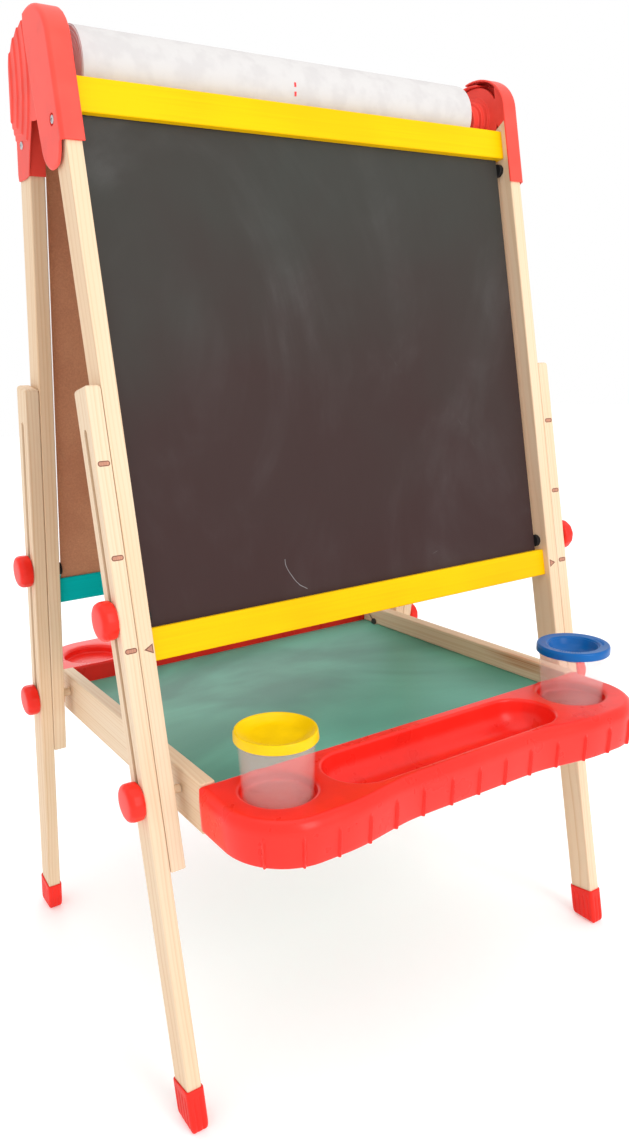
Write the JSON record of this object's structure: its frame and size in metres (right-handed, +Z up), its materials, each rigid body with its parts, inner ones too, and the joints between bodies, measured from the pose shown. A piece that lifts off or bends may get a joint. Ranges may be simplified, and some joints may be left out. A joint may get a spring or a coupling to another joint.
{
  "type": "kids easel",
  "caption": "Folding wooden A-frame easel for children with chalkboard, whiteboard, sliding legs, paper roll and a shelf with moulded trays and cups.",
  "frame": {"origin": "on the floor under the middle of the footprint", "axes": "+Z up, -Y towards the chalkboard side, +X to the right of a child who faces the chalkboard"},
  "size_m": [0.5986, 0.582, 0.9923],
  "materials": {
    "pine": "clear lacquered pine, fine straight grain",
    "yellow_paint": "satin yellow paint on solid wood",
    "teal_paint": "satin teal paint on solid wood",
    "chalkboard_face": "matt chalk paint with faint chalk dust",
    "whiteboard_panel": "glossy white outer face over brown hardboard",
    "black_plastic": "black rubbery plastic",
    "zinc_steel": "zinc plated",
    "dark_steel": "blackened steel",
    "brass_insert": "turned brass",
    "green_paint": "satin green paint on thin plywood",
    "foot_plastic": "soft deep red plastic",
    "red_plastic": "moulded red plastic, semi gloss",
    "tray_plastic": "moulded red plastic, semi gloss",
    "paper": "uncoated drawing paper",
    "core_card": "spiral wound grey-brown board",
    "cup_plastic": "translucent milky plastic",
    "yellow_plastic": "moulded yellow plastic",
    "blue_plastic": "moulded blue plastic"
  },
  "bodies": {
    "front_frame": {"front_post_left": "pine", "front_post_right": "pine", "front_top_rail": "yellow_paint", "front_bottom_rail": "yellow_paint", "chalkboard": "chalkboard_face", "chalkboard_pins": "black_plastic", "front_cap_left": "red_plastic", "front_cap_right": "red_plastic", "front_cap_screws": "zinc_steel", "hinge_pins": "zinc_steel", "front_thread_inserts": "brass_insert", "front_shelf_studs": "pine", "roll_rod": "pine"},
    "rear_frame": {"rear_post_left": "pine", "rear_post_right": "pine", "rear_top_rail": "teal_paint", "rear_bottom_rail": "teal_paint", "whiteboard": "whiteboard_panel", "whiteboard_pins": "black_plastic", "rear_cap_left": "red_plastic", "rear_cap_right": "red_plastic", "rear_cap_screws": "zinc_steel", "rear_thread_inserts": "brass_insert", "shelf_pivot_bolts": "dark_steel"},
    "shelf": {"shelf_rail_left": "pine", "shelf_rail_right": "pine", "shelf_board": "green_paint", "front_tray": "tray_plastic", "rear_tray": "tray_plastic", "tray_screws": "zinc_steel"},
    "paper_roll": {"paper_roll": "paper", "roll_core": "core_card"},
    "cup_left": {"cup_left": "cup_plastic"},
    "cup_right": {"cup_right": "cup_plastic"},
    "lid_left": {"lid_left": "yellow_plastic"},
    "lid_right": {"lid_right": "blue_plastic"},
    "leg_front_left": {"leg_front_left": "pine", "foot_front_left": "foot_plastic"},
    "knob_front_left_upper": {"knob_front_left_upper": "red_plastic", "bolt_front_left_upper": "zinc_steel"},
    "knob_front_left_lower": {"knob_front_left_lower": "red_plastic", "bolt_front_left_lower": "zinc_steel"},
    "leg_front_right": {"leg_front_right": "pine", "foot_front_right": "foot_plastic"},
    "knob_front_right_upper": {"knob_front_right_upper": "red_plastic", "bolt_front_right_upper": "zinc_steel"},
    "knob_front_right_lower": {"knob_front_right_lower": "red_plastic", "bolt_front_right_lower": "zinc_steel"},
    "leg_rear_left": {"leg_rear_left": "pine", "foot_rear_left": "foot_plastic"},
    "knob_rear_left_upper": {"knob_rear_left_upper": "red_plastic", "bolt_rear_left_upper": "zinc_steel"},
    "knob_rear_left_lower": {"knob_rear_left_lower": "red_plastic", "bolt_rear_left_lower": "zinc_steel"},
    "leg_rear_right": {"leg_rear_right": "pine", "foot_rear_right": "foot_plastic"},
    "knob_rear_right_upper": {"knob_rear_right_upper": "red_plastic", "bolt_rear_right_upper": "zinc_steel"},
    "knob_rear_right_lower": {"knob_rear_right_lower": "red_plastic", "bolt_rear_right_lower": "zinc_steel"}
  },
  "joints": [
    {"name": "frame_fold", "type": "hinge", "parent": "front_frame", "child": "rear_frame", "pos_m": [0, 0.008, 0.946], "axis": [-1, 0, 0], "range_deg": [0, 16]},
    {"name": "shelf_drop", "type": "hinge", "parent": "rear_frame", "child": "shelf", "pos_m": [0, 0.15937, 0.30922], "axis": [1, 0, 0], "range_deg": [0, 80]},
    {"name": "leg_front_left_slide", "type": "slide", "parent": "front_frame", "child": "leg_front_left", "axis": [0, -0.1754, -0.9845], "range_m": [0, 0.164]},
    {"name": "knob_front_left_upper_turn", "type": "hinge", "parent": "front_frame", "child": "knob_front_left_upper", "pos_m": [-0.29, -0.11443, 0.47167], "axis": [-1, 0, 0], "continuous": true},
    {"name": "knob_front_left_lower_turn", "type": "hinge", "parent": "front_frame", "child": "knob_front_left_lower", "pos_m": [-0.29, -0.14337, 0.30922], "axis": [-1, 0, 0], "continuous": true},
    {"name": "leg_front_right_slide", "type": "slide", "parent": "front_frame", "child": "leg_front_right", "axis": [0, -0.1754, -0.9845], "range_m": [0, 0.164]},
    {"name": "knob_front_right_upper_turn", "type": "hinge", "parent": "front_frame", "child": "knob_front_right_upper", "pos_m": [0.29, -0.11443, 0.47167], "axis": [1, 0, 0], "continuous": true},
    {"name": "knob_front_right_lower_turn", "type": "hinge", "parent": "front_frame", "child": "knob_front_right_lower", "pos_m": [0.29, -0.14337, 0.30922], "axis": [1, 0, 0], "continuous": true},
    {"name": "leg_rear_left_slide", "type": "slide", "parent": "rear_frame", "child": "leg_rear_left", "axis": [0, 0.1754, -0.9845], "range_m": [0, 0.164]},
    {"name": "knob_rear_left_upper_turn", "type": "hinge", "parent": "rear_frame", "child": "knob_rear_left_upper", "pos_m": [-0.29, 0.13043, 0.47167], "axis": [-1, 0, 0], "continuous": true},
    {"name": "knob_rear_left_lower_turn", "type": "hinge", "parent": "rear_frame", "child": "knob_rear_left_lower", "pos_m": [-0.29, 0.15937, 0.30922], "axis": [-1, 0, 0], "continuous": true},
    {"name": "leg_rear_right_slide", "type": "slide", "parent": "rear_frame", "child": "leg_rear_right", "axis": [0, 0.1754, -0.9845], "range_m": [0, 0.164]},
    {"name": "knob_rear_right_upper_turn", "type": "hinge", "parent": "rear_frame", "child": "knob_rear_right_upper", "pos_m": [0.29, 0.13043, 0.47167], "axis": [1, 0, 0], "continuous": true},
    {"name": "knob_rear_right_lower_turn", "type": "hinge", "parent": "rear_frame", "child": "knob_rear_right_lower", "pos_m": [0.29, 0.15937, 0.30922], "axis": [1, 0, 0], "continuous": true},
    {"name": "roll_spin", "type": "hinge", "parent": "front_frame", "child": "paper_roll", "pos_m": [0, 0.008, 0.946], "axis": [1, 0, 0], "continuous": true},
    {"name": "cup_left_lift", "type": "slide", "parent": "shelf", "child": "cup_left", "axis": [0, 0, 1], "range_m": [0, 0.09]},
    {"name": "lid_left_lift", "type": "slide", "parent": "cup_left", "child": "lid_left", "axis": [0, 0, 1], "range_m": [0, 0.03]},
    {"name": "cup_right_lift", "type": "slide", "parent": "shelf", "child": "cup_right", "axis": [0, 0, 1], "range_m": [0, 0.09]},
    {"name": "lid_right_lift", "type": "slide", "parent": "cup_right", "child": "lid_right", "axis": [0, 0, 1], "range_m": [0, 0.03]}
  ],
  "couplings": [
    {"joint": "shelf_drop", "follows": "frame_fold", "ratio": 5}
  ]
}
